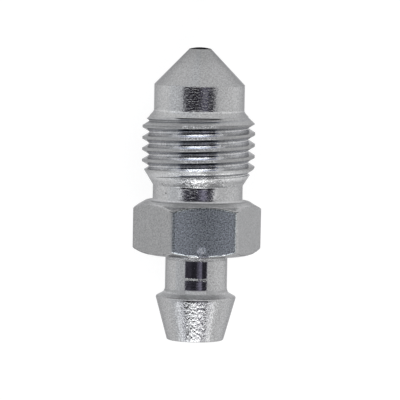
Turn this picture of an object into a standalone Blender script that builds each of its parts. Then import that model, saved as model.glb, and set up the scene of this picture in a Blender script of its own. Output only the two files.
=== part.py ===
"""Hydraulic bleeder screw with an M10 x 1 thread, lying on one flat of its hexagon.

The screw is one turned piece, made from hexagon bar: seat cone, pilot, thread, undercut
neck, hexagon, plain stem and hose barb. A blind bore runs in from the barb end and meets
one cross port in the pilot.

Units are metres. The axis lies along Y with the seat cone towards +Y, and the hexagon
stands on the plane z = 0. The origin is under the middle of the screw.
"""

import math

import bmesh
import bpy
from mathutils import Matrix

MM = 0.001

# Seat cone and pilot
TIP_RADIUS = 0.96 * MM
TIP_CROWN = 0.13 * MM
SEAT_HALF_ANGLE = math.radians(44.0)
PILOT_RADIUS = 4.0 * MM
PILOT_LENGTH = 2.44 * MM
SHOULDER_ROUNDING = 0.14 * MM
PILOT_FOOT_FILLET = 0.2 * MM

# Thread, M10 x 1, right-handed
THREAD_PITCH = 1.0 * MM
THREAD_MAJOR_RADIUS = 4.98 * MM
THREAD_DEPTH = 0.585 * MM
THREAD_HALF_ANGLE = math.radians(30.0)
THREAD_CREST_FLAT = 0.2 * MM
THREAD_LENGTH = 3.85 * MM
LEAD_IN_ANGLE = math.radians(45.0)
RUN_OUT_ANGLE = math.radians(30.0)
GROOVE_START = 0.26 * MM
GROOVE_OVERRUN = 0.1 * MM
GROOVE_MOUTH_SHARE = 0.97

# Undercut neck between thread and hexagon
NECK_RADIUS = 3.98 * MM
NECK_LENGTH = 1.28 * MM
NECK_FILLET = 0.22 * MM

# Hexagon
ACROSS_FLATS = 10.0 * MM
HEX_CORNER_RADIUS = 0.4 * MM
HEX_HEIGHT = 4.74 * MM
HEX_TOP_FACE_RADIUS = 4.6 * MM
HEX_FOOT_FACE_RADIUS = 4.78 * MM
HEX_FOOT_ROUNDING = 2.4 * MM
HEX_CHAMFER_ANGLE = math.radians(30.0)

# Stem and hose barb
STEM_RADIUS = 2.75 * MM
STEM_LENGTH = 3.3 * MM
STEM_HEX_FILLET = 0.12 * MM
STEM_LIP_FILLET = 0.55 * MM
LIP_RADIUS = 3.57 * MM
LIP_FACE_ANGLE = math.radians(62.0)
LIP_ROUNDING = 0.16 * MM
BARB_END_RADIUS = 2.5 * MM
BARB_HALF_ANGLE = math.radians(15.5)
BARB_END_ROUNDING = 0.33 * MM

# Bore and cross port
BORE_RADIUS = 1.25 * MM
BORE_MOUTH_CHAMFER = 0.15 * MM
DRILL_POINT_HALF_ANGLE = math.radians(59.0)
PORT_RADIUS = 0.9 * MM
PORT_TO_BORE_END = 0.15 * MM

# How far the tools reach past the screw that they cut
BLANK_MARGIN = 0.3 * MM
BAR_OVERRUN = 2.0 * MM
PORT_DRILL_LENGTH = 6.0 * MM

# Fineness of the round faces
TURN_STEPS = 60
FILLET_STEPS = 3
CROWN_STEPS = 3
HEX_CORNER_STEPS = 3
PORT_STEPS = 24
MERGE_DISTANCE = 1e-7
FILLET_SHARE = 0.45

PART_NAME = "bleeder_screw"

# Places along the axis, measured from the top of the crowned tip towards the barb
TIP_EDGE = TIP_CROWN
SHOULDER = TIP_EDGE + (PILOT_RADIUS - TIP_RADIUS) / math.tan(SEAT_HALF_ANGLE)
LEAD_IN_FOOT = SHOULDER + PILOT_LENGTH
THREAD_TOP = LEAD_IN_FOOT + (THREAD_MAJOR_RADIUS - PILOT_RADIUS) / math.tan(LEAD_IN_ANGLE)
THREAD_END = THREAD_TOP + THREAD_LENGTH
RUN_OUT_FOOT = THREAD_END + (THREAD_MAJOR_RADIUS - NECK_RADIUS) / math.tan(RUN_OUT_ANGLE)
HEX_TOP = RUN_OUT_FOOT + NECK_LENGTH
HEX_END = HEX_TOP + HEX_HEIGHT
LIP_FOOT = HEX_END + STEM_LENGTH
LIP_EDGE = LIP_FOOT + (LIP_RADIUS - STEM_RADIUS) / math.tan(LIP_FACE_ANGLE)
BARB_END = LIP_EDGE + (LIP_RADIUS - BARB_END_RADIUS) / math.tan(BARB_HALF_ANGLE)
PORT_PLACE = SHOULDER + 0.5 * PILOT_LENGTH
BORE_END = PORT_PLACE - PORT_RADIUS - PORT_TO_BORE_END
DRILL_POINT = BORE_END - BORE_RADIUS / math.tan(DRILL_POINT_HALF_ANGLE)

# The turned blank of the hexagon reaches past the corners of the hexagon bar
HEX_SIDES = 6
BAR_RADIUS = 0.5 * ACROSS_FLATS / math.cos(math.pi / HEX_SIDES)
BAR_LENGTH = BARB_END + 2.0 * BAR_OVERRUN
BLANK_RADIUS = BAR_RADIUS + BLANK_MARGIN
BLANK_TOP = HEX_TOP + (BLANK_RADIUS - HEX_TOP_FACE_RADIUS) * math.tan(HEX_CHAMFER_ANGLE)
BLANK_FOOT = HEX_END - (BLANK_RADIUS - HEX_FOOT_FACE_RADIUS) * math.tan(HEX_CHAMFER_ANGLE)

# Zinc plate on steel
ZINC_COLOUR = (0.46, 0.47, 0.48, 1.0)
ZINC_ROUGHNESS = 0.38


def clear_scene():
    for obj in list(bpy.data.objects):
        bpy.data.objects.remove(obj, do_unlink=True)


def new_collection(name):
    collection = bpy.data.collections.new(name)
    bpy.context.scene.collection.children.link(collection)
    return collection


def zinc_material():
    material = bpy.data.materials.new("zinc_plate")
    material.use_nodes = True
    shader = material.node_tree.nodes["Principled BSDF"]
    shader.inputs["Base Color"].default_value = ZINC_COLOUR
    shader.inputs["Metallic"].default_value = 1.0
    shader.inputs["Roughness"].default_value = ZINC_ROUGHNESS
    return material


def screw_frame():
    """Turn the turning axis, local Z, to world Y and lay the hexagon on z = 0."""
    lift = Matrix.Translation((0.0, 0.5 * BARB_END, 0.5 * ACROSS_FLATS))
    return lift @ Matrix.Rotation(math.radians(-90.0), 4, "X")


def rounded(before, corner, after, radius):
    """Points of the arc that rounds a corner between two straight runs of a profile."""
    if radius <= 0.0:
        return [corner]
    into = (corner[0] - before[0], corner[1] - before[1])
    away = (after[0] - corner[0], after[1] - corner[1])
    into_length = math.hypot(*into)
    away_length = math.hypot(*away)
    into = (into[0] / into_length, into[1] / into_length)
    away = (away[0] / away_length, away[1] / away_length)
    turn = math.atan2(into[0] * away[1] - into[1] * away[0], into[0] * away[0] + into[1] * away[1])
    longest = FILLET_SHARE * min(into_length, away_length)
    setback = min(radius * math.tan(0.5 * abs(turn)), longest)
    radius = setback / math.tan(0.5 * abs(turn))
    side = math.copysign(1.0, turn)
    start = (corner[0] - into[0] * setback, corner[1] - into[1] * setback)
    centre = (start[0] - side * into[1] * radius, start[1] + side * into[0] * radius)
    spoke = (start[0] - centre[0], start[1] - centre[1])
    points = []
    for step in range(FILLET_STEPS + 1):
        angle = turn * step / FILLET_STEPS
        x = centre[0] + spoke[0] * math.cos(angle) - spoke[1] * math.sin(angle)
        z = centre[1] + spoke[0] * math.sin(angle) + spoke[1] * math.cos(angle)
        points.append((x, z))
    return points


def crown_points():
    """The shallow dome on the tip, from the axis to just inside its edge."""
    sphere = (TIP_RADIUS ** 2 + TIP_CROWN ** 2) / (2.0 * TIP_CROWN)
    points = []
    for step in range(CROWN_STEPS):
        radius = TIP_RADIUS * step / CROWN_STEPS
        points.append((radius, -(sphere - math.sqrt(sphere ** 2 - radius ** 2))))
    return points


def turned_profile():
    """The section from the tip down the outside and back up the bore, as (radius, z)."""
    corners = [
        (TIP_RADIUS, TIP_EDGE, 0.0),
        (PILOT_RADIUS, SHOULDER, SHOULDER_ROUNDING),
        (PILOT_RADIUS, LEAD_IN_FOOT, PILOT_FOOT_FILLET),
        (THREAD_MAJOR_RADIUS, THREAD_TOP, 0.0),
        (THREAD_MAJOR_RADIUS, THREAD_END, 0.0),
        (NECK_RADIUS, RUN_OUT_FOOT, NECK_FILLET),
        (NECK_RADIUS, HEX_TOP, NECK_FILLET),
        (HEX_TOP_FACE_RADIUS, HEX_TOP, 0.0),
        (BLANK_RADIUS, BLANK_TOP, 0.0),
        (BLANK_RADIUS, BLANK_FOOT, 0.0),
        (HEX_FOOT_FACE_RADIUS, HEX_END, HEX_FOOT_ROUNDING),
        (STEM_RADIUS, HEX_END, STEM_HEX_FILLET),
        (STEM_RADIUS, LIP_FOOT, STEM_LIP_FILLET),
        (LIP_RADIUS, LIP_EDGE, LIP_ROUNDING),
        (BARB_END_RADIUS, BARB_END, BARB_END_ROUNDING),
        (BORE_RADIUS + BORE_MOUTH_CHAMFER, BARB_END, 0.0),
        (BORE_RADIUS, BARB_END - BORE_MOUTH_CHAMFER, 0.0),
        (BORE_RADIUS, BORE_END, 0.0),
        (0.0, DRILL_POINT, 0.0),
    ]
    places = [(radius, -depth) for radius, depth, _ in corners]
    points = crown_points() + [places[0]]
    for index in range(1, len(corners) - 1):
        fillet = corners[index][2]
        points += rounded(places[index - 1], places[index], places[index + 1], fillet)
    points.append(places[-1])
    return points


def wire_object(name, points, closed, collection):
    mesh = bpy.data.meshes.new(name)
    edges = [(index, index + 1) for index in range(len(points) - 1)]
    if closed:
        edges.append((len(points) - 1, 0))
    mesh.from_pydata([(x, 0.0, z) for x, z in points], edges, [])
    obj = bpy.data.objects.new(name, mesh)
    collection.objects.link(obj)
    return obj


def add_screw(obj, pitch, turns):
    screw = obj.modifiers.new("Turn", "SCREW")
    screw.axis = "Z"
    screw.angle = math.tau
    screw.screw_offset = pitch
    screw.iterations = turns
    screw.steps = TURN_STEPS
    screw.render_steps = TURN_STEPS
    screw.use_merge_vertices = pitch == 0.0
    screw.merge_threshold = MERGE_DISTANCE


def hide_cutter(obj):
    obj.hide_render = True
    obj.display_type = "WIRE"


def groove_profile(root_place):
    """One section of the thread groove: a trapezoid, narrow at the root, as (radius, z)."""
    root_radius = THREAD_MAJOR_RADIUS - THREAD_DEPTH
    widening = math.tan(THREAD_HALF_ANGLE)
    root_half_width = 0.5 * (THREAD_PITCH - THREAD_CREST_FLAT) - THREAD_DEPTH * widening
    mouth_half_width = 0.5 * GROOVE_MOUTH_SHARE * THREAD_PITCH
    mouth_radius = root_radius + (mouth_half_width - root_half_width) / widening
    return [
        (mouth_radius, root_place + mouth_half_width),
        (root_radius, root_place + root_half_width),
        (root_radius, root_place - root_half_width),
        (mouth_radius, root_place - mouth_half_width),
    ]


def make_groove_cutter(cutters):
    """The helical thread groove, from inside the undercut neck to past the lead-in."""
    start = RUN_OUT_FOOT - GROOVE_START
    turns = math.ceil((start - LEAD_IN_FOOT + GROOVE_OVERRUN) / THREAD_PITCH)
    wire = wire_object("groove_wire", groove_profile(-start), True, cutters)
    add_screw(wire, THREAD_PITCH, turns)
    depsgraph = bpy.context.evaluated_depsgraph_get()
    mesh = bpy.data.meshes.new_from_object(wire.evaluated_get(depsgraph))
    mesh.name = "groove_cutter"
    bm = bmesh.new()
    bm.from_mesh(mesh)
    bmesh.ops.holes_fill(bm, edges=bm.edges[:], sides=0)
    bmesh.ops.recalc_face_normals(bm, faces=bm.faces[:])
    bm.to_mesh(mesh)
    bm.free()
    bpy.data.objects.remove(wire, do_unlink=True)
    cutter = bpy.data.objects.new("groove_cutter", mesh)
    cutters.objects.link(cutter)
    return cutter


def make_hexagon_bar(cutters):
    """The hexagon bar, with rounded corners at +X and -X and a flat facing up and down."""
    mesh = bpy.data.meshes.new("hexagon_bar")
    bm = bmesh.new()
    place = Matrix.Translation((0.0, 0.0, -0.5 * BARB_END)) @ Matrix.Rotation(math.radians(90.0), 4, "Z")
    bmesh.ops.create_cone(
        bm, cap_ends=True, segments=HEX_SIDES, radius1=BAR_RADIUS, radius2=BAR_RADIUS, depth=BAR_LENGTH,
        matrix=place
    )
    long_edges = [edge for edge in bm.edges if edge.calc_length() > 0.5 * BAR_LENGTH]
    setback = HEX_CORNER_RADIUS * math.tan(math.pi / HEX_SIDES)
    bmesh.ops.bevel(
        bm, geom=long_edges, offset=setback, offset_type="OFFSET", segments=HEX_CORNER_STEPS, profile=0.5,
        affect="EDGES"
    )
    bm.to_mesh(mesh)
    bm.free()
    bar = bpy.data.objects.new("hexagon_bar", mesh)
    cutters.objects.link(bar)
    return bar


def make_port_cutter(cutters):
    """The drill for the cross port, from the axis out through the underside of the pilot."""
    mesh = bpy.data.meshes.new("port_cutter")
    bm = bmesh.new()
    middle = Matrix.Translation((0.0, 0.5 * PORT_DRILL_LENGTH, -PORT_PLACE))
    bmesh.ops.create_cone(
        bm, cap_ends=True, segments=PORT_STEPS, radius1=PORT_RADIUS, radius2=PORT_RADIUS,
        depth=PORT_DRILL_LENGTH, matrix=middle @ Matrix.Rotation(math.radians(90.0), 4, "X")
    )
    bm.to_mesh(mesh)
    bm.free()
    cutter = bpy.data.objects.new("port_cutter", mesh)
    cutters.objects.link(cutter)
    return cutter


def add_boolean(obj, operation, tool):
    boolean = obj.modifiers.new(tool.name, "BOOLEAN")
    boolean.operation = operation
    boolean.solver = "EXACT"
    boolean.object = tool


def make_screw(parts, cutters):
    screw = wire_object(PART_NAME, turned_profile(), False, parts)
    add_screw(screw, 0.0, 1)
    tools = [
        ("INTERSECT", make_hexagon_bar(cutters)),
        ("DIFFERENCE", make_groove_cutter(cutters)),
        ("DIFFERENCE", make_port_cutter(cutters)),
    ]
    frame = screw_frame()
    screw.matrix_world = frame
    for operation, tool in tools:
        tool.matrix_world = frame
        hide_cutter(tool)
        add_boolean(screw, operation, tool)
    return screw


def main():
    clear_scene()
    parts = new_collection(PART_NAME)
    cutters = new_collection("cutters")
    screw = make_screw(parts, cutters)
    screw.data.materials.append(zinc_material())


main()
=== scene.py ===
"""A zinc plated bleeder screw lying on a pale floor, seen from above at the photograph's angle.

One fine mesh stands for the CAD solid: a grid of profile points by azimuths, with the
thread, the hexagon, all rounded edges and the bore, and the cross port cut by a Boolean.
Its plating is one material whose tone changes in bands along the axis, with reflections,
highlights and shade painted into its colour, and all the light comes from a world shaped like
a pale tent with a dark opening round the camera.
Lengths are millimetres until the mesh is made, and depths run along the axis from the tip.
"""

import math
from types import SimpleNamespace

import bmesh
import bpy
import numpy as np
from mathutils import Matrix, Vector


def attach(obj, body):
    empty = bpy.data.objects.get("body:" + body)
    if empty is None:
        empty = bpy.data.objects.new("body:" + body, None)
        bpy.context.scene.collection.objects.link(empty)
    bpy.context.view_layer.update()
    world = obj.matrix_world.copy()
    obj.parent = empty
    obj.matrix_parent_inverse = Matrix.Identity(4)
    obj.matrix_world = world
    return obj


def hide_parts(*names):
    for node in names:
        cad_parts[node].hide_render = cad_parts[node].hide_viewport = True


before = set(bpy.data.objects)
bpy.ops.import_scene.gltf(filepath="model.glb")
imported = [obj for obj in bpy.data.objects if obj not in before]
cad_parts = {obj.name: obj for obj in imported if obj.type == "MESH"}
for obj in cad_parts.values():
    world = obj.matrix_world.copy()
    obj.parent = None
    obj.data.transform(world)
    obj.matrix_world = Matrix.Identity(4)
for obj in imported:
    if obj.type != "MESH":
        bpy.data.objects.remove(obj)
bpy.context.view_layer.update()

MM = 0.001

# Sizes of the CAD solid
TIP_RADIUS = 0.96
TIP_CROWN = 0.13
SEAT_HALF_ANGLE = math.radians(44.0)
PILOT_RADIUS = 4.0
PILOT_LENGTH = 2.44
THREAD_PITCH = 1.0
THREAD_MAJOR_RADIUS = 4.98
THREAD_DEPTH = 0.585
THREAD_CREST_FLAT = 0.2
THREAD_LENGTH = 3.85
LEAD_IN_ANGLE = math.radians(45.0)
RUN_OUT_ANGLE = math.radians(30.0)
GROOVE_START = 0.26
NECK_RADIUS = 3.98
NECK_LENGTH = 1.28
ACROSS_FLATS = 10.0
HEX_HEIGHT = 4.74
HEX_TOP_FACE_RADIUS = 4.6
HEX_FOOT_FACE_RADIUS = 4.78
HEX_CHAMFER_ANGLE = math.radians(30.0)
STEM_RADIUS = 2.75
STEM_LENGTH = 3.3
LIP_RADIUS = 3.57
LIP_FACE_ANGLE = math.radians(62.0)
BARB_END_RADIUS = 2.5
BARB_HALF_ANGLE = math.radians(15.5)
BORE_RADIUS = 1.25
BORE_MOUTH_CHAMFER = 0.15
DRILL_POINT_HALF_ANGLE = math.radians(59.0)
PORT_RADIUS = 0.9
PORT_TO_BORE_END = 0.15
BLANK_MARGIN = 0.3

# Sizes that follow the photograph more closely than the CAD solid does
THREAD_HALF_ANGLE = math.radians(32.0)
HEX_CORNER_RADIUS = 0.475
LEAD_IN_SHIFT = 0.08
RUN_OUT_SHIFT = 0.13
LAND_RADIUS = 4.36
LAND_TOP = 6.05
LAND_LENGTH = 0.07

# Depths along the axis from the top of the crowned tip
TIP_EDGE = TIP_CROWN
SHOULDER = TIP_EDGE + (PILOT_RADIUS - TIP_RADIUS) / math.tan(SEAT_HALF_ANGLE)
LEAD_IN_FOOT = SHOULDER + PILOT_LENGTH
THREAD_TOP = LEAD_IN_FOOT + (THREAD_MAJOR_RADIUS - PILOT_RADIUS) / math.tan(LEAD_IN_ANGLE)
THREAD_END = THREAD_TOP + THREAD_LENGTH
RUN_OUT_FOOT = THREAD_END + (THREAD_MAJOR_RADIUS - NECK_RADIUS) / math.tan(RUN_OUT_ANGLE)
HEX_TOP = RUN_OUT_FOOT + NECK_LENGTH
HEX_END = HEX_TOP + HEX_HEIGHT
LIP_FOOT = HEX_END + STEM_LENGTH
LIP_EDGE = LIP_FOOT + (LIP_RADIUS - STEM_RADIUS) / math.tan(LIP_FACE_ANGLE)
BARB_END = LIP_EDGE + (LIP_RADIUS - BARB_END_RADIUS) / math.tan(BARB_HALF_ANGLE)
PORT_PLACE = SHOULDER + 0.5 * PILOT_LENGTH
BORE_END = PORT_PLACE - PORT_RADIUS - PORT_TO_BORE_END
DRILL_POINT = BORE_END - BORE_RADIUS / math.tan(DRILL_POINT_HALF_ANGLE)
BAR_RADIUS = 0.5 * ACROSS_FLATS / math.cos(math.pi / 6)
BLANK_RADIUS = BAR_RADIUS + BLANK_MARGIN
BLANK_TOP = HEX_TOP + (BLANK_RADIUS - HEX_TOP_FACE_RADIUS) * math.tan(HEX_CHAMFER_ANGLE)
BLANK_FOOT = HEX_END - (BLANK_RADIUS - HEX_FOOT_FACE_RADIUS) * math.tan(HEX_CHAMFER_ANGLE)
AXIS_HEIGHT = 0.5 * ACROSS_FLATS

# Fineness and rounded edges of the visual mesh
ARC_STEP = math.radians(9.0)
LARGEST_SETBACK = 0.45
TIP_RINGS = 6
CORNER_AZIMUTHS = (-2.1, -1.3, -0.45, 0.45, 1.3, 2.1)
AZIMUTHS_BETWEEN_CORNERS = 21
CREST_BLEND = 0.03
ROOT_BLEND = 0.04
FLAT_EDGE_BLEND = 0.2
GROOVE_ABOVE_LEAD_IN = 0.3
GROOVE_BELOW_RUN_OUT = 0.1
PORT_SIDES = 48
PORT_DRILL_LENGTH = 6.0
SHARP_ANGLE = math.radians(50.0)

# The turned section, tip to barb and back up the bore:
# radius, depth, edge rounding, longest step to the next corner
PROFILE = (
    (TIP_RADIUS, TIP_EDGE, 0.05, 0.4),
    (PILOT_RADIUS, SHOULDER, 0.06, 0.3),
    (PILOT_RADIUS, LEAD_IN_FOOT - LEAD_IN_SHIFT, 0.4, 0.022),
    (LAND_RADIUS, LAND_TOP, 0.015, 0.022),
    (LAND_RADIUS, LAND_TOP + LAND_LENGTH, 0.015, 0.022),
    (THREAD_MAJOR_RADIUS, THREAD_TOP, 0.05, 0.022),
    (THREAD_MAJOR_RADIUS, THREAD_END, 0.05, 0.022),
    (NECK_RADIUS, RUN_OUT_FOOT - RUN_OUT_SHIFT, 0.18, 0.2),
    (NECK_RADIUS, HEX_TOP, 0.22, 0.15),
    (HEX_TOP_FACE_RADIUS, HEX_TOP, 0.12, 0.035),
    (BLANK_RADIUS, BLANK_TOP, 0.0, 0.2),
    (BLANK_RADIUS, BLANK_FOOT, 0.0, 0.035),
    (HEX_FOOT_FACE_RADIUS, HEX_END, 2.4, 0.2),
    (STEM_RADIUS, HEX_END, 0.12, 0.3),
    (STEM_RADIUS, LIP_FOOT, 0.55, 0.1),
    (LIP_RADIUS, LIP_EDGE, 0.16, 0.3),
    (BARB_END_RADIUS, BARB_END, 0.13, 0.2),
    (BORE_RADIUS + BORE_MOUTH_CHAMFER, BARB_END, 0.03, 0.1),
    (BORE_RADIUS, BARB_END - BORE_MOUTH_CHAMFER, 0.03, 1.5),
    (BORE_RADIUS, BORE_END, 0.03, 0.4),
    (0.0, DRILL_POINT, 0.0, 1.0),
)

# Bands along the axis where painted reflections, highlights and shade go, and where roughness and bumps
# change: from, to, soft border
DEPTH_BANDS = {
    "shoulder_line": (SHOULDER - 0.02, SHOULDER + 0.05, 0.02),
    "pilot": (SHOULDER, LEAD_IN_FOOT, 0.1),
    "pilot_foot": (5.5, 5.62, 0.04),
    "lead_in_start": (5.6, 6.1, 0.06),
    "lead_in": (6.0, 6.95, 0.1),
    "ring_line": (6.08, 6.17, 0.02),
    "seams": (6.2, 11.2, 0.03),
    "flanks": (THREAD_TOP + 0.3, RUN_OUT_FOOT - 0.7, 0.3),
    "crests": (THREAD_TOP - 0.3, RUN_OUT_FOOT - 0.7, 0.1),
    "flecked_thread": (THREAD_TOP, 10.9, 0.1),
    "flecked_run_out": (10.9, RUN_OUT_FOOT - 0.1, 0.1),
    "run_out_start": (10.65, 11.5, 0.08),
    "run_out_shade": (10.65, 11.2, 0.08),
    "run_out_middle": (11.2, 11.9, 0.08),
    "run_out_low": (11.5, 12.1, 0.06),
    "run_out_end": (11.78, 12.1, 0.06),
    "run_out_line": (12.06, 12.13, 0.03),
    "neck": (RUN_OUT_FOOT, HEX_TOP, 0.1),
    "neck_line": (12.18, 12.26, 0.025),
    "neck_middle": (12.33, 13.2, 0.05),
    "neck_end": (HEX_TOP - 0.15, HEX_TOP + 0.25, 0.08),
    "upper_chamfer": (HEX_TOP - 0.06, HEX_TOP + 0.2, 0.04),
    "foot_patch": (HEX_END - 0.2, HEX_END - 0.03, 0.02),
    "foot_light": (HEX_END - 0.03, HEX_END + 0.17, 0.03),
    "foot_nook": (HEX_END - 0.02, HEX_END + 0.12, 0.03),
    "stem": (HEX_END - 0.1, LIP_FOOT, 0.1),
    "stem_start": (18.3, 18.7, 0.03),
    "stem_shade": (18.48, 18.68, 0.03),
    "stem_end": (20.55, LIP_FOOT, 0.05),
    "lip_fillet": (LIP_FOOT - 0.3, LIP_EDGE - 0.08, 0.06),
    "lip_face": (LIP_FOOT - 0.05, LIP_EDGE - 0.08, 0.06),
}
TOOL_LINE = (20.37, 20.51, 0.03)

# Bands across one turn of the groove, in pitches from its root, for painted highlights and dark painted shade
# lines: from, to, soft border
GROOVE_BANDS = {
    "lit": (-0.48, -0.16, 0.03),
    "ledge": (-0.38, -0.29, 0.04),
    "lower_seam": (-0.14, -0.055, 0.025),
    "root": (0.0, 0.14, 0.03),
    "upper_seam": (0.175, 0.245, 0.025),
}
FIRST_TURN_SHIFT = 0.07

# Noises of the plating: stretch, scale, detail, roughness
NOISES = {
    "grain": ((1.0, 1.0, 1.0), 7.0, 3.0, 0.6),
    "blotch": ((1.0, 1.0, 1.0), 0.6, 2.0, 0.5),
    "marks": ((2.6, 8.0, 2.6), 1.0, 2.0, 0.6),
    "dots": ((1.3, 0.8, 1.3), 3.8, 3.0, 0.6),
    "speckle": ((1.0, 1.0, 1.0), 8.3, 2.0, 0.7),
}

# Small painted spots, dark reflections on the neck and the thread and one highlight on the hexagon's edge:
# centre, size and change of tone of each spot
PAINTED_SPOTS = (
    ((-3.118, 0.2, 7.473), 0.09, -0.8),
    ((-3.954, 0.179, 5.452), 0.09, -0.8),
    ((1.611, 4.828, 9.309), 0.12, -0.7),
    ((1.57, 2.779, 9.324), 0.12, -0.7),
    ((1.755, -4.982, 10.0), 0.09, 2.0),
)
# scuffed light patch on the hexagon's front flat, partly wear and partly a painted highlight: centre and size
SCUFF_HIGHLIGHT = ((-0.229, -4.6, 10.0), (0.5, 0.36, 0.3))
SCRATCH = ((-0.714, -11.975), (0.063, -12.404))
SCRATCH_WIDTH = 0.09

# Colours
METAL = (0.43, 0.432, 0.436, 1.0)
# bluish tint of the opening's reflection, painted on the hexagon's front flat
FRONT_REFLECTION_METAL = (0.395, 0.432, 0.452, 1.0)
# bluish tint of the dark painted shade lines along the groove
SHADE_LINE_METAL = (0.34, 0.4, 0.56, 1.0)
GRAZING_METAL = (0.55, 0.55, 0.56, 1.0)
FLOOR_GREY = (0.22, 0.22, 0.22, 1.0)
FLOOR_GLOW = 0.86
WHITE = (1.0, 1.0, 1.0, 1.0)
RIGHT_TINT = (0.98, 1.0, 1.025, 1.0)
OPENING_TINT = (0.98, 0.93, 1.24, 1.0)
DARKEST_TONE = 0.1

# Camera, fitted to the outline in the photograph
IMAGE_SIDE = 400.0
SENSOR = 36.0
CAMERA_LEAN = math.radians(4.4)
CAMERA_AZIMUTH = math.radians(-7.4)
CAMERA_DISTANCE = 280.0
CAMERA_ROLL = math.radians(1.094)
PIXELS_PER_MM = 11.31
MIDDLE_PIXEL = (197.62, 193.75)
SWING_SLOPE = 0.13
FLOOR_HALF_SIDE = 3.0


def rounded(before, corner, after, radius):
    """Points of the arc that rounds a corner of the profile."""
    if radius <= 0.0:
        return [corner]
    into = np.subtract(corner, before)
    away = np.subtract(after, corner)
    into_length = np.hypot(*into)
    away_length = np.hypot(*away)
    into = into / into_length
    away = away / away_length
    turn = math.atan2(into[0] * away[1] - into[1] * away[0], float(into @ away))
    longest = LARGEST_SETBACK * min(into_length, away_length)
    setback = min(radius * math.tan(0.5 * abs(turn)), longest)
    radius = setback / math.tan(0.5 * abs(turn))
    side = math.copysign(1.0, turn)
    start = np.subtract(corner, into * setback)
    centre = start + side * radius * np.array([-into[1], into[0]])
    spoke = start - centre
    steps = max(2, math.ceil(abs(turn) / ARC_STEP))
    points = []
    for step in range(steps + 1):
        angle = turn * step / steps
        c, s = math.cos(angle), math.sin(angle)
        points.append((centre[0] + spoke[0] * c - spoke[1] * s, centre[1] + spoke[0] * s + spoke[1] * c))
    return points


def profile_rows():
    """The turned section as (radius, height) rows, with depths as negative heights."""
    places = [(radius, -depth) for radius, depth, _, _ in PROFILE]
    sphere = (TIP_RADIUS ** 2 + TIP_CROWN ** 2) / (2.0 * TIP_CROWN)
    rows = []
    for step in range(TIP_RINGS):
        radius = TIP_RADIUS * step / TIP_RINGS
        rows.append((radius, -(sphere - math.sqrt(sphere ** 2 - radius ** 2))))
    before = rows[-1]
    for index, (_, _, rounding, _) in enumerate(PROFILE[:-1]):
        arc = rounded(before, places[index], places[index + 1], rounding)
        if index:
            start = rows[-1]
            count = max(1, math.ceil(math.dist(start, arc[0]) / PROFILE[index - 1][3]))
            for piece in range(1, count):
                share = piece / count
                rows.append(tuple(a + (b - a) * share for a, b in zip(start, arc[0])))
        rows += arc
        before = places[index]
    rows.append((0.5 * BORE_RADIUS, 0.5 * (-DRILL_POINT - BORE_END)))
    rows.append(places[-1])
    return np.array(rows)


def azimuths():
    """Azimuths of the grid, crowded at the six corners of the hexagon, which start at +X."""
    near = np.radians(CORNER_AZIMUTHS)
    last = CORNER_AZIMUTHS[-1]
    wide = np.radians(np.linspace(last, 60.0 - last, AZIMUTHS_BETWEEN_CORNERS + 2)[1:-1])
    return np.concatenate([math.radians(60.0 * k) + np.concatenate([near, wide]) for k in range(6)])


def smooth_min(a, b, blend):
    """The lesser of a and b, with the edge where they meet rounded off."""
    share = np.clip(0.5 + 0.5 * (b - a) / blend, 0.0, 1.0)
    return b + (a - b) * share - blend * share * (1.0 - share)


def hexagon_radius(azimuth):
    """Distance from the axis to the hexagon bar, whose corners are rounded."""
    corner = np.abs((azimuth + math.pi / 6) % (math.pi / 3) - math.pi / 6)
    flat = 0.5 * ACROSS_FLATS / np.cos(math.pi / 6 - corner)
    centre = BAR_RADIUS - HEX_CORNER_RADIUS / math.cos(math.pi / 6)
    edge = math.atan2(0.5 * HEX_CORNER_RADIUS, centre + HEX_CORNER_RADIUS * math.cos(math.pi / 6))
    across = np.sqrt(np.maximum(HEX_CORNER_RADIUS ** 2 - (centre * np.sin(corner)) ** 2, 0.0))
    return np.where(corner < edge, centre * np.cos(corner) + across, flat)


def thread_radius(azimuth, place):
    """Distance from the axis to the sides and the rounded root of the helical groove."""
    turns = (place + RUN_OUT_FOOT - GROOVE_START) / THREAD_PITCH - azimuth / math.tau
    off_root = np.abs(turns - np.round(turns)) * THREAD_PITCH
    widening = math.tan(THREAD_HALF_ANGLE)
    root_radius = THREAD_MAJOR_RADIUS - THREAD_DEPTH
    half_root = 0.5 * (THREAD_PITCH - THREAD_CREST_FLAT) - THREAD_DEPTH * widening
    side = root_radius + (off_root - half_root) / widening
    return -smooth_min(-side, -root_radius, ROOT_BLEND)


def screw_grid():
    """Azimuth, radius and height of every grid point, and how far each is on a hexagon flat."""
    rows = profile_rows()
    angle = azimuths()[None, :]
    place = rows[:, 1][:, None] + 0.0 * angle
    radius = rows[:, 0][:, None] + 0.0 * angle
    outside = (np.arange(len(rows)) < np.argmin(rows[:, 1]))[:, None]
    threaded = outside & (place < -LEAD_IN_FOOT + GROOVE_ABOVE_LEAD_IN)
    threaded &= place > -RUN_OUT_FOOT - GROOVE_BELOW_RUN_OUT
    # beyond the crests the groove is far outside, and leaves the blank as it is
    thread = np.minimum(thread_radius(angle, place), THREAD_MAJOR_RADIUS + 1.0)
    radius = np.where(threaded, smooth_min(radius, thread, CREST_BLEND), radius)
    hexed = outside & (place <= -HEX_TOP) & (place >= -HEX_END) & (radius > STEM_RADIUS)
    flats = hexagon_radius(angle) + 0.0 * place
    is_flat = np.where(hexed, np.clip(0.5 + (radius - flats) / FLAT_EDGE_BLEND, 0.0, 1.0), 0.0)
    radius = np.where(hexed, smooth_min(radius, flats, FLAT_EDGE_BLEND), radius)
    return angle, radius, place, is_flat


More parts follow.
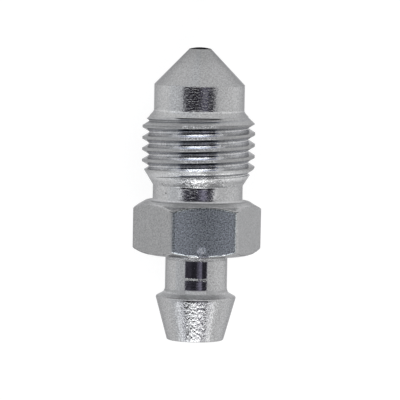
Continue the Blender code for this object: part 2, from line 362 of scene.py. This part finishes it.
def grid_mesh(name):
    """The closed mesh of the grid, with a point at the tip and one at the drill point."""
    angle, radius, place, is_flat = screw_grid()
    inner = slice(1, len(radius) - 1)
    x = radius[inner] * np.cos(angle)
    y = radius[inner] * np.sin(angle)
    z = place[inner]
    ring = np.stack([x, y, z], 2).reshape(-1, 3)
    ends = np.array([[0.0, 0.0, place[0, 0]], [0.0, 0.0, place[-1, 0]]])
    points = np.concatenate([ring, ends])
    count, across = x.shape
    here = np.arange(across)
    after = (here + 1) % across
    faces = []
    for row in range(count - 1):
        top, low = row * across, (row + 1) * across
        faces += np.stack([top + here, low + here, low + after, top + after], 1).tolist()
    tip, drill = count * across, count * across + 1
    last = (count - 1) * across
    faces += np.stack([here * 0 + tip, here, after], 1).tolist()
    faces += np.stack([last + here, here * 0 + drill, last + after], 1).tolist()
    mesh = bpy.data.meshes.new(name)
    mesh.from_pydata((points * MM).tolist(), [], faces)
    flat = mesh.attributes.new("flat_share", "FLOAT", "POINT")
    shares = np.concatenate([is_flat[inner].ravel(), [0.0, 0.0]])
    flat.data.foreach_set("value", shares.astype(np.float32))
    mesh.transform(screw_frame())
    mesh.update()
    return mesh


def screw_frame():
    """From the turning frame, tip towards +Z, to the part's frame, tip towards +Y."""
    lift = Matrix.Translation((0.0, 0.5 * BARB_END * MM, AXIS_HEIGHT * MM))
    return lift @ Matrix.Rotation(math.radians(-90.0), 4, "X")


def port_drill():
    """A cylinder where the cross port runs from the bore down through the pilot."""
    mesh = bpy.data.meshes.new("port_drill")
    bm = bmesh.new()
    length = PORT_DRILL_LENGTH * MM
    middle = Matrix.Translation((0.0, 0.5 * length, -PORT_PLACE * MM))
    bmesh.ops.create_cone(
        bm, cap_ends=True, segments=PORT_SIDES, radius1=PORT_RADIUS * MM, radius2=PORT_RADIUS * MM,
        depth=length, matrix=screw_frame() @ middle @ Matrix.Rotation(math.radians(90.0), 4, "X")
    )
    bm.to_mesh(mesh)
    bm.free()
    drill = bpy.data.objects.new("port_drill", mesh)
    bpy.context.scene.collection.objects.link(drill)
    return drill


def make_screw():
    """The screw's mesh object, with its cross port cut."""
    screw = bpy.data.objects.new("plated_screw", grid_mesh("plated_screw"))
    bpy.context.scene.collection.objects.link(screw)
    drill = port_drill()
    cut = screw.modifiers.new("port", "BOOLEAN")
    cut.operation = "DIFFERENCE"
    cut.solver = "EXACT"
    cut.object = drill
    depsgraph = bpy.context.evaluated_depsgraph_get()
    mesh = bpy.data.meshes.new_from_object(screw.evaluated_get(depsgraph))
    screw.modifiers.clear()
    screw.data = mesh
    bpy.data.objects.remove(drill, do_unlink=True)
    mesh.shade_smooth()
    mesh.set_sharp_from_angle(angle=SHARP_ANGLE)
    return screw


class Nodes:
    """Short ways to add and join shader nodes."""

    def __init__(self, tree):
        self.tree = tree

    def add(self, kind, **settings):
        node = self.tree.nodes.new(kind)
        for key, value in settings.items():
            setattr(node, key, value)
        return node

    def feed(self, socket, value):
        if isinstance(value, bpy.types.NodeSocket):
            self.tree.links.new(value, socket)
        else:
            socket.default_value = value

    def math(self, operation, *values, clamp=False):
        node = self.add("ShaderNodeMath", operation=operation, use_clamp=clamp)
        for socket, value in zip(node.inputs, values):
            self.feed(socket, value)
        return node.outputs[0]

    def vector(self, operation, *values):
        node = self.add("ShaderNodeVectorMath", operation=operation)
        for socket, value in zip(node.inputs, values):
            self.feed(socket, value)
        return node

    def both(self, first, *others):
        """The product of masks."""
        for other in others:
            first = self.math("MULTIPLY", first, other)
        return first

    def split(self, vector):
        node = self.add("ShaderNodeSeparateXYZ")
        self.feed(node.inputs[0], vector)
        return node.outputs

    def step(self, value, low, high, bottom=0.0, top=1.0):
        """A smooth step from bottom to top while value goes from low to high."""
        node = self.add("ShaderNodeMapRange", interpolation_type="SMOOTHSTEP")
        given = {"Value": value, "From Min": low, "From Max": high, "To Min": bottom, "To Max": top}
        for name, part in given.items():
            self.feed(node.inputs[name], part)
        return node.outputs["Result"]

    def under(self, value, low, high):
        """One below low and zero above high."""
        return self.step(value, low, high, 1.0, 0.0)

    def band(self, value, low, high, soft):
        """One between low and high and zero outside, with soft borders."""
        return self.both(self.step(value, low - soft, low + soft), self.under(value, high - soft, high + soft))

    def bands(self, value, table):
        """Every band of a table, by name."""
        return SimpleNamespace(**{name: self.band(value, *limits) for name, limits in table.items()})

    def noise(self, vector, stretch, scale, detail, roughness):
        """Noise about 0.5 at the given scale, finer along the directions that are stretched."""
        node = self.add("ShaderNodeTexNoise")
        self.feed(node.inputs["Vector"], self.vector("MULTIPLY", vector, stretch).outputs[0])
        for name, given in (("Scale", scale), ("Detail", detail), ("Roughness", roughness)):
            self.feed(node.inputs[name], given)
        return node.outputs["Fac"]

    def spot(self, vector, centre, size):
        """One inside an ellipsoid about the centre and zero outside, with a soft border."""
        off = self.vector("SUBTRACT", vector, centre).outputs[0]
        reach = self.vector("MULTIPLY", off, tuple(1.0 / part for part in size)).outputs[0]
        return self.under(self.vector("LENGTH", reach).outputs["Value"], 0.6, 1.1)

    def streak(self, vector, start, end, width):
        """One along a straight line in the XY plane and zero outside, with soft borders."""
        soft = 0.03
        length = math.dist(start, end)
        lead = ((end[0] - start[0]) / length, (end[1] - start[1]) / length)
        middle = (0.5 * (start[0] + end[0]), 0.5 * (start[1] + end[1]), 0.0)
        off = self.vector("SUBTRACT", vector, middle).outputs[0]
        parts = []
        for way, half in (((*lead, 0.0), 0.5 * length), ((-lead[1], lead[0], 0.0), 0.5 * width)):
            reach = self.math("ABSOLUTE", self.vector("DOT_PRODUCT", off, way).outputs["Value"])
            parts.append(self.under(reach, half - soft, half + soft))
        return self.both(*parts)

    def blend(self, share, first, second):
        """Colour between first and second."""
        node = self.add("ShaderNodeMix", data_type="RGBA")
        colours = [socket for socket in node.inputs if socket.type == "RGBA"]
        self.feed(node.inputs[0], share)
        for socket, value in zip(colours, (first, second)):
            self.feed(socket, value)
        return next(socket for socket in node.outputs if socket.type == "RGBA")

    def total(self, start, shares):
        """The start plus every mask times its amount."""
        for mask, amount in shares:
            start = self.math("MULTIPLY_ADD", mask, amount, start)
        return start


def surface_places(n):
    """Places on the screw in millimetres, the noises of its plating and the bands on it."""
    s = SimpleNamespace()
    place = n.add("ShaderNodeTexCoord").outputs["Object"]
    s.mm = n.vector("MULTIPLY", place, (1.0 / MM, 1.0 / MM, 1.0 / MM)).outputs[0]
    s.x, y, s.z = n.split(s.mm)
    s.depth = n.math("SUBTRACT", 0.5 * BARB_END, y)
    lifted = n.vector("SUBTRACT", s.mm, (0.0, 0.0, AXIS_HEIGHT)).outputs[0]
    s.radius = n.vector("LENGTH", n.vector("MULTIPLY", lifted, (1.0, 0.0, 1.0)).outputs[0]).outputs["Value"]
    s.off_axis = n.math("ABSOLUTE", s.x)
    # distance from the middle of the reflections, which lean with the camera
    over_axis = n.math("SUBTRACT", s.z, AXIS_HEIGHT)
    s.aside = n.math("ABSOLUTE", n.math("MULTIPLY_ADD", over_axis, SWING_SLOPE, s.x))
    s.flat = n.add("ShaderNodeAttribute", attribute_name="flat_share").outputs["Fac"]
    for name, settings in NOISES.items():
        setattr(s, name, n.noise(s.mm, *settings))
    s.at = n.bands(s.depth, DEPTH_BANDS)
    s.groove = n.bands(groove_phase(n, s), GROOVE_BANDS)
    return s


def groove_phase(n, s):
    """Distance along the axis from the nearest root of the thread's groove, in pitches."""
    azimuth = n.math("ARCTAN2", n.math("SUBTRACT", AXIS_HEIGHT, s.z), s.x)
    height = n.math("DIVIDE", n.math("SUBTRACT", RUN_OUT_FOOT - GROOVE_START, s.depth), THREAD_PITCH)
    turns = n.math("MULTIPLY_ADD", azimuth, -1.0 / math.tau, height)
    turns = n.math("ADD", turns, n.step(s.depth, 6.4, 6.6, FIRST_TURN_SHIFT, 0.0))
    return n.math("SUBTRACT", n.math("FRACT", n.math("ADD", turns, 0.5)), 0.5)


def add_shared_masks(n, s):
    """Masks that more than one property of the plating uses."""
    # the middle strip under the camera's reflection, where most painted light and shade goes
    s.centre = n.under(s.aside, 1.2, 2.0)
    s.flanks = n.both(s.at.flanks, n.under(s.radius, 4.5, 4.95))
    s.crests = n.both(s.at.crests, n.step(s.radius, 4.9, 4.96))
    # painted highlight on one flank of each groove, in the middle strip
    s.lit = n.both(s.groove.lit, s.flanks, s.centre)
    # dark lines of painted shade on both sides of the groove's root, faint away from the middle strip
    seams = n.math("MULTIPLY_ADD", s.groove.lower_seam, 1.15, s.groove.upper_seam)
    seams = n.both(seams, s.at.seams, n.under(s.radius, 4.85, 4.93))
    s.seams = n.both(seams, n.step(s.aside, 1.3, 2.0, 0.9, 0.08))
    s.front = n.both(s.flat, n.step(s.z, 9.93, 9.99))
    s.near_top = n.step(s.z, 9.6, 9.8)
    # nooks by the neck and the hexagon's foot, painted lighter and made rougher
    neck_sides = n.both(s.at.neck_end, n.under(s.off_axis, 3.5, 5.0))
    s.nooks = n.math("ADD", neck_sides, s.at.foot_nook)
    # the stem's middle strip, for its painted highlight and tool line
    s.stem_strip = n.under(s.aside, 0.85, 1.0)
    s.scratch = n.both(n.streak(s.mm, *SCRATCH, SCRATCH_WIDTH), n.step(s.z, 5.0, 6.0))


def tip_tones(n, s):
    """Masks and amounts of painted light and shade on the seat cone, the pilot and the lead-in chamfer: a
    darker cone, a dark line at the shoulder, a lighter pilot foot, a lead-in darker towards +X and a dark line
    across the middle of its ring.
    """
    cone = n.under(s.depth, SHOULDER - 0.1, SHOULDER + 0.1)
    return [
        (n.both(cone, n.step(s.depth, 0.2, 2.2, 0.32, 0.14)), -1.0),
        (s.at.shoulder_line, -0.13),
        (s.at.pilot_foot, 0.25),
        (s.at.lead_in_start, n.step(s.x, 0.5, 1.5, 0.0, -0.08)),
        (s.at.ring_line, n.step(s.aside, 1.5, 2.3, -1.2, 0.0)),
    ]


def thread_tones(n, s):
    """Masks and amounts of painted light and shade on the thread: lighter flanks, painted highlights on one
    flank, the root and a ledge of each groove, darker crests with painted glints in the middle, and dark
    painted shade lines along the groove.
    """
    return [
        (s.flanks, n.step(s.aside, 1.5, 3.5, 0.25, 0.48)),
        (s.flanks, n.step(s.x, 0.5, 3.0, 0.0, 0.1)),
        (s.lit, 0.35),
        (n.both(s.groove.root, s.flanks, s.centre), 0.3),
        (n.both(s.groove.ledge, s.at.flanks, s.centre), 1.3),
        (s.crests, -0.15),
        (n.both(s.crests, s.centre, n.step(s.speckle, 0.5, 0.6)), 0.9),
        (s.seams, -1.0),
    ]


def neck_tones(n, s):
    """Masks and amounts of painted light and shade on the run-out and the neck: sides and a middle band
    painted darker, a bright painted line, a dark line and a lighter middle on the neck, and nooks painted
    lighter.
    """
    return [
        (s.at.run_out_start, n.step(s.x, -1.5, 0.8, -0.2, 0.0)),
        (n.both(s.centre, s.at.run_out_shade), -0.35),
        (s.at.run_out_middle, n.step(s.x, 1.2, 2.4, 0.0, -0.16)),
        (s.at.run_out_low, n.step(s.off_axis, 1.4, 2.0, 0.0, -0.07)),
        (s.at.run_out_end, 0.15),
        (n.both(s.centre, s.at.run_out_line), 0.7),
        (n.both(n.under(s.aside, 1.4, 1.6), s.at.neck_line), -1.15),
        (n.both(s.centre, s.at.neck_middle), 0.7),
        (s.nooks, 0.4),
    ]


def hexagon_tones(n, s):
    """Masks and amounts for the tone of the hexagon: painted light and shade on its front flat, its rounded
    rims and its upper chamfer, a painted highlight patch at its foot, flats painted lighter towards +X, and
    dark specks in the plating.
    """
    slope = math.tan(HEX_CHAMFER_ANGLE)
    arc = HEX_TOP - slope * HEX_TOP_FACE_RADIUS
    under_arc = n.band(n.math("MULTIPLY_ADD", s.radius, -slope, s.depth), arc, arc + 0.17, 0.03)
    front_sides = n.both(s.flat, n.band(s.off_axis, 2.6, 2.74, 0.04), s.near_top)
    upper_rim = n.both(n.band(s.flat, 0.2, 0.9, 0.15), n.step(s.depth, 15.0, 16.0, 0.65, 0.0), s.near_top)
    lower_rim = n.both(n.step(s.grain, 0.42, 0.56), n.band(s.flat, 0.2, 0.8, 0.15))
    chamfer = n.both(s.at.upper_chamfer, n.under(s.flat, 0.0, 0.3), n.step(s.off_axis, 1.8, 3.2, 1.0, 0.3))
    patch = n.both(s.at.foot_patch, n.under(s.aside, 0.8, 1.1), n.step(s.z, 9.3, 9.5))
    specks = n.both(n.step(s.speckle, 0.36, 0.6, -1.0, 0.0), s.flat)
    return [
        (s.front, n.step(s.off_axis, 0.0, 2.6, 0.44, 0.8)),
        (s.front, n.step(s.x, -2.6, 2.6, 0.1, -0.12)),
        (n.both(under_arc, s.front), -0.45),
        (front_sides, -0.3),
        (upper_rim, -1.0),
        (lower_rim, n.step(s.depth, 15.0, 16.0, 0.0, -0.4)),
        (chamfer, -0.45),
        (patch, n.step(s.dots, 0.4, 0.55, 0.8, 2.0)),
        (s.flat, n.step(s.x, -4.0, 4.0, -0.05, 0.16)),
        (specks, n.math("MULTIPLY_ADD", s.front, 0.85, 0.15)),
    ]


def stem_tones(n, s):
    """Masks and amounts of painted light and shade on the stem and the barb: a slightly darker left side,
    painted highlights at the hexagon's foot and the stem's end, a painted shade band, and a lip face lighter
    towards its sides.
    """
    middle = n.under(s.aside, 0.9, 1.2)
    return [
        (n.step(s.depth, HEX_END, HEX_END + 0.2), n.step(s.x, -1.6, -0.8, -0.08, 0.0)),
        (n.both(s.at.foot_light, middle, n.under(s.radius, 2.9, 3.2)), 0.5),
        (n.both(s.at.stem_shade, middle), -0.33),
        (n.both(s.at.stem_end, s.stem_strip), 0.3),
        (s.at.lip_face, n.step(s.off_axis, 1.2, 2.2, 0.12, 0.4)),
    ]


def painted_spot_and_wear_tones(n, s):
    """Masks and amounts for the painted spots, the scuffed patch with its painted highlight, and the scratch.
    """
    shares = [(n.spot(s.mm, middle, (size, size, size)), amount) for middle, size, amount in PAINTED_SPOTS]
    shares.append((n.both(n.spot(s.mm, *SCUFF_HIGHLIGHT), n.step(s.grain, 0.4, 0.52)), 1.3))
    shares.append((s.scratch, 0.7))
    return shares


def base_colour(n, s):
    """Colour of the plating: grain and blotches, scaled by the tone of each place, where the painted light and
    shade go.
    """
    grain = n.math("MULTIPLY_ADD", s.grain, 1.15, 0.425)
    level = n.math("ADD", grain, n.math("MULTIPLY_ADD", s.blotch, 0.08, -0.04))
    tone = n.math("MULTIPLY_ADD", s.flat, -0.16, 1.0)
    for tones in (tip_tones, thread_tones, neck_tones, hexagon_tones, stem_tones, painted_spot_and_wear_tones):
        tone = n.total(tone, tones(n, s))
    dark_tip = n.step(s.depth, 0.12, 0.17, 0.03, 1.0)
    level = n.both(level, n.math("MAXIMUM", tone, DARKEST_TONE), dark_tip)
    # bluish painted reflection tints on the front flat and in the dark shade lines
    colour = n.vector("SCALE", n.blend(s.seams, n.blend(s.front, METAL, FRONT_REFLECTION_METAL), SHADE_LINE_METAL))
    n.feed(colour.inputs["Scale"], level)
    return colour.outputs[0]


def surface_roughness(n, s):
    """Roughness of the plating: matt flats, crests, lead-in and nooks."""
    start = n.math("MULTIPLY_ADD", n.step(s.flat, 0.7, 1.0), 0.2, 0.15)
    return n.total(start, [
        (s.at.stem, -0.05),
        (n.math("ADD", s.nooks, s.at.lip_fillet), 0.45),
        (s.crests, 0.35),
        (s.at.lead_in, 0.3),
        (s.scratch, 0.3),
        (n.math("SUBTRACT", s.grain, 0.5), 0.15),
    ])


def surface_height(n, s):
    """Height in millimetres of the grain, the turning marks and the flecks."""
    fine = n.total(0.006, [(s.front, 0.008), (s.at.stem, -0.005)])
    height = n.math("MULTIPLY", s.grain, fine)
    turned = n.math("MULTIPLY_ADD", s.at.neck, 0.8, s.at.pilot)
    uneven = n.total(s.depth, [(s.grain, 0.25), (n.math("SUBTRACT", s.blotch, 0.5), 0.35)])
    tool_line = n.both(n.band(uneven, *TOOL_LINE), s.stem_strip, n.step(s.dots, 0.45, 0.56, 3.0, 28.0))
    stem_marks = n.total(tool_line, [(s.at.stem_end, 2.0), (s.at.stem_start, 24.0)])
    barb = n.step(s.depth, LIP_EDGE - 0.1, LIP_EDGE + 0.2)
    thread_flecks = n.math("MULTIPLY_ADD", s.lit, 0.3, 0.12)
    flecks = n.math("MULTIPLY", barb, 0.75)
    flecks = n.total(flecks, [(s.at.flecked_run_out, 0.8), (s.at.flecked_thread, thread_flecks)])
    return n.total(height, [
        (n.both(s.marks, turned), 0.032),
        (n.both(s.marks, stem_marks), 0.006),
        (n.both(s.dots, flecks), 0.045),
    ])


def zinc_material():
    """The screw's plating, which is dark and not metallic on the very tip."""
    material = bpy.data.materials.new("zinc_plate")
    material.use_nodes = True
    n = Nodes(material.node_tree)
    shader = material.node_tree.nodes["Principled BSDF"]
    s = surface_places(n)
    add_shared_masks(n, s)
    n.feed(shader.inputs["Base Color"], base_colour(n, s))
    n.feed(shader.inputs["Metallic"], n.step(s.depth, 0.12, 0.17))
    shader.inputs["Specular IOR Level"].default_value = 0.0
    shader.inputs["Specular Tint"].default_value = GRAZING_METAL
    n.feed(shader.inputs["Roughness"], surface_roughness(n, s))
    bump = n.add("ShaderNodeBump")
    bump.inputs["Strength"].default_value = 1.0
    bump.inputs["Distance"].default_value = MM
    n.feed(bump.inputs["Height"], surface_height(n, s))
    n.feed(shader.inputs["Normal"], bump.outputs["Normal"])
    return material


def tent_level(n, z, wide, rise):
    """Light of the tent, level with the floor at the horizon."""
    tent = n.step(z, 0.05, 0.75, 1.0, 0.85)
    glow = n.both(n.step(wide, 42.0, 51.0, 1.0, -0.06), n.band(rise, -48.0, -22.0, 5.0))
    return n.total(tent, [(n.band(rise, 15.0, 32.0, 3.0), 0.35), (glow, 1.4)])


def opening_level(n, across, rise):
    """Light from inside the opening: nearly none, with a dim upright strip at the right."""
    lower_end = n.step(rise, -6.2, -4.6, 2.0, 9.0)
    strip = n.both(
        n.step(n.math("SUBTRACT", across, lower_end), -1.5, 1.5),
        n.under(across, 20.0, 23.0),
        n.step(across, 8.0, 16.0, 0.16, 0.28),
        n.step(rise, -6.2, -4.6, 1.0, 0.6),
    )
    dark = n.math("MULTIPLY_ADD", n.band(rise, -5.4, 4.0, 1.2), 0.04, n.step(rise, -11.0, -7.0, 0.0, 0.05))
    dark = n.math("MULTIPLY_ADD", n.step(across, -20.0, -16.0), -0.03, dark, clamp=True)
    return n.math("ADD", dark, strip)


def opening_shape(n, wide, rise):
    """One inside the opening round the camera, which is wider above than below."""
    edge = n.math("SUBTRACT", wide, n.step(rise, -34.0, -26.0, 35.5, 40.7))
    return n.both(n.under(edge, -2.0, 2.0), n.under(rise, 10.0, 13.0), n.step(rise, -46.0, -40.0))


def patch_level(n, across, rise):
    """Light of the bright patch below the opening, narrower and further left lower down."""
    reach = n.math("ABSOLUTE", n.math("ADD", across, n.step(rise, -58.0, -50.0, 9.0, 0.0)))
    reach = n.math("SUBTRACT", reach, n.step(rise, -50.0, -38.0, 16.0, 30.0))
    return n.both(
        n.band(rise, -78.0, -39.5, 0.8),
        n.under(reach, -2.5, 2.5),
        n.step(rise, -60.0, -52.0, 1.0, 4.6),
        n.step(rise, -47.0, -44.0, 1.0, 0.55),
    )


def studio_world():
    """The tent, drawn in degrees across and towards the tip from straight above the screw."""
    world = bpy.data.worlds.new("tent")
    bpy.context.scene.world = world
    world.use_nodes = True
    n = Nodes(world.node_tree)
    background = world.node_tree.nodes["Background"]
    direction = n.add("ShaderNodeTexCoord").outputs["Generated"]
    swing = n.add("ShaderNodeVectorRotate", rotation_type="Y_AXIS")
    n.feed(swing.inputs["Vector"], direction)
    swing.inputs["Angle"].default_value = -CAMERA_AZIMUTH
    x, y, z = n.split(swing.outputs[0])
    degrees = 180.0 / math.pi
    turn = n.math("MULTIPLY", n.math("ARCTAN2", x, z), degrees)
    across = n.math("MULTIPLY", n.math("ARCSINE", x), degrees)
    rise = n.math("MULTIPLY", n.math("ARCSINE", y), degrees)
    wide = n.math("ABSOLUTE", across)
    tent = tent_level(n, z, wide, rise)
    opening = opening_shape(n, wide, rise)
    patch = patch_level(n, across, rise)
    inside = n.math("SUBTRACT", opening_level(n, across, rise), tent)
    level = n.math("ADD", n.math("MULTIPLY_ADD", opening, inside, tent), patch)
    n.feed(background.inputs["Strength"], level)
    tint = n.blend(n.under(turn, -50.0, 30.0), WHITE, RIGHT_TINT)
    dim = n.math("SUBTRACT", opening, patch, clamp=True)
    n.feed(background.inputs["Color"], n.blend(dim, tint, OPENING_TINT))


def pale_floor():
    """The surface that the screw lies on, pale by its own glow, with a grey that takes the shadow."""
    mesh = bpy.data.meshes.new("floor")
    bm = bmesh.new()
    bmesh.ops.create_grid(bm, x_segments=1, y_segments=1, size=FLOOR_HALF_SIDE)
    bm.to_mesh(mesh)
    bm.free()
    floor = bpy.data.objects.new("floor", mesh)
    bpy.context.scene.collection.objects.link(floor)
    material = bpy.data.materials.new("pale_floor")
    material.use_nodes = True
    shader = material.node_tree.nodes["Principled BSDF"]
    shader.inputs["Base Color"].default_value = FLOOR_GREY
    shader.inputs["Roughness"].default_value = 0.9
    shader.inputs["Specular IOR Level"].default_value = 0.0
    shader.inputs["Emission Color"].default_value = WHITE
    shader.inputs["Emission Strength"].default_value = FLOOR_GLOW
    mesh.materials.append(material)


def make_camera():
    """The camera above the screw, leaned, swung and rolled as in the photograph."""
    swing = Matrix.Rotation(CAMERA_AZIMUTH, 3, "Y")
    back = swing @ Vector((0.0, math.sin(CAMERA_LEAN), math.cos(CAMERA_LEAN)))
    up = swing @ Vector((0.0, math.cos(CAMERA_LEAN), -math.sin(CAMERA_LEAN)))
    right = swing @ Vector((1.0, 0.0, 0.0))
    c, s = math.cos(CAMERA_ROLL), math.sin(CAMERA_ROLL)
    rolled_right = right * c + up * s
    rolled_up = up * c - right * s
    across = (0.5 * IMAGE_SIDE - MIDDLE_PIXEL[0]) / PIXELS_PER_MM
    above = (0.5 * IMAGE_SIDE - MIDDLE_PIXEL[1]) / PIXELS_PER_MM
    place = Vector((0.0, 0.0, AXIS_HEIGHT)) + back * CAMERA_DISTANCE
    place = place + rolled_right * across - rolled_up * above
    data = bpy.data.cameras.new("camera")
    data.sensor_width = SENSOR
    data.lens = PIXELS_PER_MM * CAMERA_DISTANCE * SENSOR / IMAGE_SIDE
    data.clip_start = 0.01
    data.clip_end = 10.0
    camera = bpy.data.objects.new("camera", data)
    bpy.context.scene.collection.objects.link(camera)
    axes = Matrix((rolled_right, rolled_up, back)).transposed().to_4x4()
    camera.matrix_world = Matrix.Translation(place * MM) @ axes
    bpy.context.scene.camera = camera


def main():
    screw = make_screw()
    screw.data.materials.clear()
    screw.data.materials.append(zinc_material())
    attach(screw, "root")
    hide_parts("bleeder_screw")
    pale_floor()
    studio_world()
    make_camera()
    bpy.context.scene.view_settings.view_transform = "Standard"


main()
